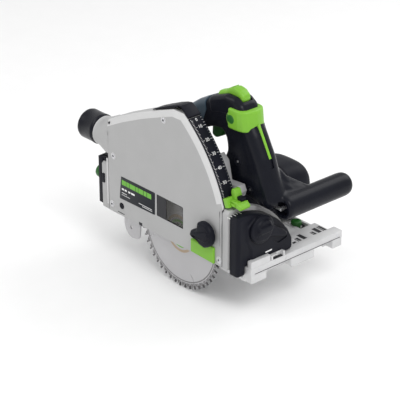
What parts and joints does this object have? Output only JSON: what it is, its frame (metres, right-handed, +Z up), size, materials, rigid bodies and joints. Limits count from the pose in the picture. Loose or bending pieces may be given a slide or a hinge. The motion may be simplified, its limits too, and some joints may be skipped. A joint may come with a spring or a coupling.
{
  "type": "track plunge saw",
  "caption": "Handheld plunge-cut circular saw on a tilting sole plate, with curved blade guard, depth scale, closed handle, round front handle and swivelling dust collar.",
  "frame": {"origin": "on the underside of the sole plate, level with the blade arbor along the travel direction and 90 mm from the blade plane", "axes": "+X travel direction, +Y from the blade side to the motor side, +Z up from the sole"},
  "size_m": [0.3635, 0.213, 0.298],
  "materials": {
    "cast_silver": "satin",
    "hood_grey": "satin",
    "dark_housing": "matt",
    "grip_rubber": "matt",
    "signal_green": "satin",
    "bright_steel": "brushed",
    "copper_core": "satin",
    "window_smoke": "clear",
    "carbon": "matt"
  },
  "bodies": {
    "base": {"base_plate": "cast_silver", "front_quadrant": "dark_housing", "rear_quadrant": "dark_housing", "front_clamp_bolt": "bright_steel", "rear_clamp_bolt": "bright_steel"},
    "head": {"hood_shell": "hood_grey", "hood_cover": "hood_grey", "window_pane": "window_smoke", "info_plate": "dark_housing", "cover_screw_1": "bright_steel", "cover_screw_2": "bright_steel", "cover_screw_3": "bright_steel", "cover_screw_4": "bright_steel", "depth_scale": "dark_housing", "scale_end_block": "dark_housing", "front_sector": "hood_grey", "rear_sector": "hood_grey", "plunge_pin": "bright_steel"},
    "saw_unit": {"gear_case": "cast_silver", "bearing_plate": "cast_silver", "motor_shell": "dark_housing", "motor_end_cap": "dark_housing", "handle_body": "dark_housing", "grip_cover": "grip_rubber", "column_inlay": "signal_green", "aux_handle": "dark_housing", "power_inlet": "dark_housing", "stator": "bright_steel", "arbor_bearing": "bright_steel", "motor_bearing_front": "bright_steel", "motor_bearing_rear": "bright_steel", "brush_upper": "carbon", "brush_lower": "carbon"},
    "blade_set": {"arbor": "bright_steel", "inner_flange": "bright_steel", "outer_flange": "bright_steel", "arbor_bolt": "bright_steel", "saw_blade": "bright_steel", "output_gear": "bright_steel"},
    "rotor": {"armature": "copper_core", "motor_fan": "dark_housing", "pinion": "bright_steel"},
    "knife": {"riving_knife": "bright_steel"},
    "guard_slide": {"splinter_guard": "signal_green"},
    "guard_lock": {"splinter_knob": "dark_housing"},
    "stop": {"depth_stop": "signal_green"},
    "port": {"dust_port": "dark_housing"},
    "front_knob": {"front_clamp_knob": "dark_housing"},
    "rear_knob": {"rear_clamp_knob": "signal_green"},
    "front_cam": {"rail_cam_front": "signal_green"},
    "rear_cam": {"rail_cam_rear": "signal_green"},
    "release_button": {"top_button": "signal_green"},
    "trigger": {"power_trigger": "signal_green"},
    "lever": {"change_lever": "signal_green"},
    "speed_wheel": {"speed_dial": "signal_green"},
    "key": {"hex_key": "bright_steel"}
  },
  "joints": [
    {"name": "bevel_tilt", "type": "hinge", "parent": "base", "child": "head", "pos_m": [0, -0.09, 0], "axis": [1, 0, 0], "range_deg": [0, 47]},
    {"name": "plunge", "type": "hinge", "parent": "head", "child": "saw_unit", "pos_m": [-0.115, -0.07, 0.03], "axis": [0, -1, 0], "range_deg": [0, 28.5]},
    {"name": "blade_spin", "type": "hinge", "parent": "saw_unit", "child": "blade_set", "pos_m": [0, -0.09, 0.025], "axis": [0, 1, 0], "continuous": true},
    {"name": "motor_spin", "type": "hinge", "parent": "saw_unit", "child": "rotor", "pos_m": [0.016, 0, 0.0461], "axis": [0, 1, 0], "continuous": true},
    {"name": "knife_slide", "type": "slide", "parent": "saw_unit", "child": "knife", "axis": [0, 0, 1], "range_m": [0, 0.01], "stiffness_N_per_m": 150, "springref_m": -0.01},
    {"name": "guard_travel", "type": "slide", "parent": "head", "child": "guard_slide", "axis": [0, 0, -1], "range_m": [0, 0.012]},
    {"name": "guard_lock_turn", "type": "hinge", "parent": "head", "child": "guard_lock", "pos_m": [0.068, -0.102, 0.055], "axis": [0, 1, 0], "range_deg": [0, 90]},
    {"name": "depth_stop_travel", "type": "hinge", "parent": "head", "child": "stop", "pos_m": [-0.115, -0.088, 0.03], "axis": [0, -1, 0], "range_deg": [0, 28.5]},
    {"name": "port_swivel", "type": "hinge", "parent": "head", "child": "port", "pos_m": [-0.172, -0.081, 0.1175], "axis": [1, 0, 0], "range_deg": [-170, 170]},
    {"name": "front_clamp_turn", "type": "hinge", "parent": "base", "child": "front_knob", "pos_m": [0.1264, -0.0628, 0.0723], "axis": [1, 0, 0], "range_deg": [0, 25]},
    {"name": "rear_clamp_turn", "type": "hinge", "parent": "base", "child": "rear_knob", "pos_m": [-0.1664, -0.066, 0.0615], "axis": [1, 0, 0], "range_deg": [0, 90]},
    {"name": "front_cam_turn", "type": "hinge", "parent": "base", "child": "front_cam", "pos_m": [0.062, 0.0684, 0.005], "axis": [0, 0, 1], "range_deg": [-90, 90]},
    {"name": "rear_cam_turn", "type": "hinge", "parent": "base", "child": "rear_cam", "pos_m": [-0.108, 0.0684, 0.005], "axis": [0, 0, 1], "range_deg": [-90, 90]},
    {"name": "release_press", "type": "slide", "parent": "saw_unit", "child": "release_button", "axis": [0, 0, -1], "range_m": [0, 0.0025], "stiffness_N_per_m": 900, "springref_m": -0.002},
    {"name": "trigger_press", "type": "slide", "parent": "saw_unit", "child": "trigger", "axis": [0, 0, 1], "range_m": [0, 0.004], "stiffness_N_per_m": 600, "springref_m": -0.002},
    {"name": "lever_flip", "type": "hinge", "parent": "saw_unit", "child": "lever", "pos_m": [0.1005, -0.04, 0.192], "axis": [0, 1, 0], "range_deg": [0, 30]},
    {"name": "speed_turn", "type": "hinge", "parent": "saw_unit", "child": "speed_wheel", "pos_m": [0.019, 0.0475, 0.092], "axis": [0, 1, 0], "range_deg": [0, 300]},
    {"name": "key_pull", "type": "slide", "parent": "saw_unit", "child": "key", "axis": [0, -1, 0], "range_m": [0, 0.034]}
  ],
  "couplings": [
    {"joint": "motor_spin", "follows": "blade_spin", "ratio": -3.4167}
  ]
}
